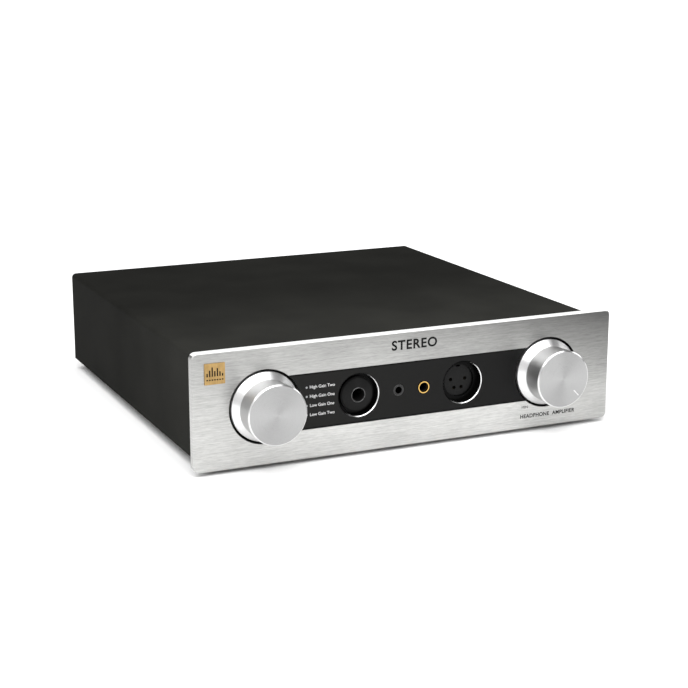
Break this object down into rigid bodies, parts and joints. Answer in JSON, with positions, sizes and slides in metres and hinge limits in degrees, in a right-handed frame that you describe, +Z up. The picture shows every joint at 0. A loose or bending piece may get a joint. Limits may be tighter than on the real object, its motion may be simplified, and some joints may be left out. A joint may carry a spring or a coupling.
{
  "type": "headphone amplifier",
  "caption": "Desktop headphone amplifier: black folded case, brushed front panel with two turned knobs, balanced and single-ended sockets, rear mains inlet.",
  "frame": {"origin": "floor level under the feet, at the middle of the overall width and depth", "axes": "+X to the right seen from the front, +Y to the back, +Z up; the front panel faces -Y"},
  "size_m": [0.2284, 0.2502, 0.06],
  "materials": {
    "brushed_panel": "horizontal brushed grain, clear anodised",
    "black_strip": "fine satin black",
    "bright_rim": "bright cut",
    "gilt_badge": "satin gilt, etched",
    "plated_steel": "zinc plated",
    "screw_steel": "blackened",
    "case_black": "fine textured matt black",
    "foot_rubber": "matt",
    "knob_metal": "spun satin, anodised",
    "bright_steel": "bright nickel",
    "switch_plastic": "moulded",
    "socket_plastic": "moulded, satin",
    "gilt_metal": "polished gilt",
    "socket_metal": "black plated",
    "light_pipe": "clear moulded",
    "light_body": "moulded",
    "circuit_board": "green solder mask",
    "spacer_brass": "nickelled brass",
    "fuse_glass": "clear tube with metal caps",
    "rocker_plastic": "moulded, satin",
    "insulator_white": "moulded",
    "winding_tape": "wound polyester tape",
    "capacitor_sleeve": "shrink sleeve",
    "sink_aluminium": "black anodised",
    "device_plastic": "moulded epoxy",
    "relay_plastic": "moulded"
  },
  "bodies": {
    "case": {"amplifier_board": "circuit_board", "amplifier_capacitors": "capacitor_sleeve", "amplifier_heat_sink": "sink_aluminium", "balanced_jack": "socket_plastic", "balanced_jack_ring": "gilt_metal", "base_tray": "case_black", "board_screws": "screw_steel", "board_spacers": "spacer_brass", "case_screws": "screw_steel", "control_nuts": "bright_steel", "converter_cards": "circuit_board", "data_port_tongues": "socket_plastic", "data_ports": "bright_steel", "display_strip": "black_strip", "feet": "foot_rubber", "foot_screws": "screw_steel", "front_badge": "gilt_badge", "front_board": "circuit_board", "front_bracket": "case_black", "front_panel": "brushed_panel", "front_xlr_contacts": "gilt_metal", "front_xlr_insert": "socket_plastic", "inlet_blades": "bright_steel", "jack_contacts": "gilt_metal", "large_jack": "socket_plastic", "light_pipes": "light_pipe", "line_xlr_pins": "gilt_metal", "line_xlr_shells": "socket_metal", "mains_inlet": "socket_plastic", "mode_lights": "light_body", "mode_switch": "switch_plastic", "output_transistors": "device_plastic", "panel_screws": "screw_steel", "phono_insulators": "insulator_white", "phono_shells": "gilt_metal", "rear_board": "circuit_board", "rear_panel": "case_black", "relays": "relay_plastic", "rocker_housing": "socket_plastic", "small_jack": "socket_plastic", "socket_rims": "bright_rim", "socket_sleeves": "socket_metal", "supply_board": "circuit_board", "supply_capacitors": "capacitor_sleeve", "supply_heat_sink": "sink_aluminium", "top_cover": "case_black", "transformer": "winding_tape", "transformer_fixings": "screw_steel", "transformer_pads": "foot_rubber", "transformer_plate": "plated_steel", "volume_pot": "plated_steel"},
    "volume_control": {"volume_knob": "knob_metal", "volume_set_screw": "screw_steel", "volume_shaft": "bright_steel"},
    "mode_control": {"mode_knob": "knob_metal", "mode_set_screw": "screw_steel", "mode_shaft": "bright_steel"},
    "power_rocker": {"power_rocker": "rocker_plastic"},
    "fuse_drawer": {"fuse_drawer": "socket_plastic", "fuses": "fuse_glass"}
  },
  "joints": [
    {"name": "volume_turn", "type": "hinge", "parent": "case", "child": "volume_control", "pos_m": [0.077, -0.1089, 0.0307], "axis": [0, 1, 0], "range_deg": [-285, 15]},
    {"name": "mode_turn", "type": "hinge", "parent": "case", "child": "mode_control", "pos_m": [-0.0778, -0.1089, 0.0307], "axis": [0, 1, 0], "range_deg": [0, 90]},
    {"name": "power_rock", "type": "hinge", "parent": "case", "child": "power_rocker", "pos_m": [0.046, 0.1126, 0.0315], "axis": [1, 0, 0], "range_deg": [-20, 0]},
    {"name": "fuse_drawer_slide", "type": "slide", "parent": "case", "child": "fuse_drawer", "axis": [0, 1, 0], "range_m": [0, 0.02]}
  ]
}
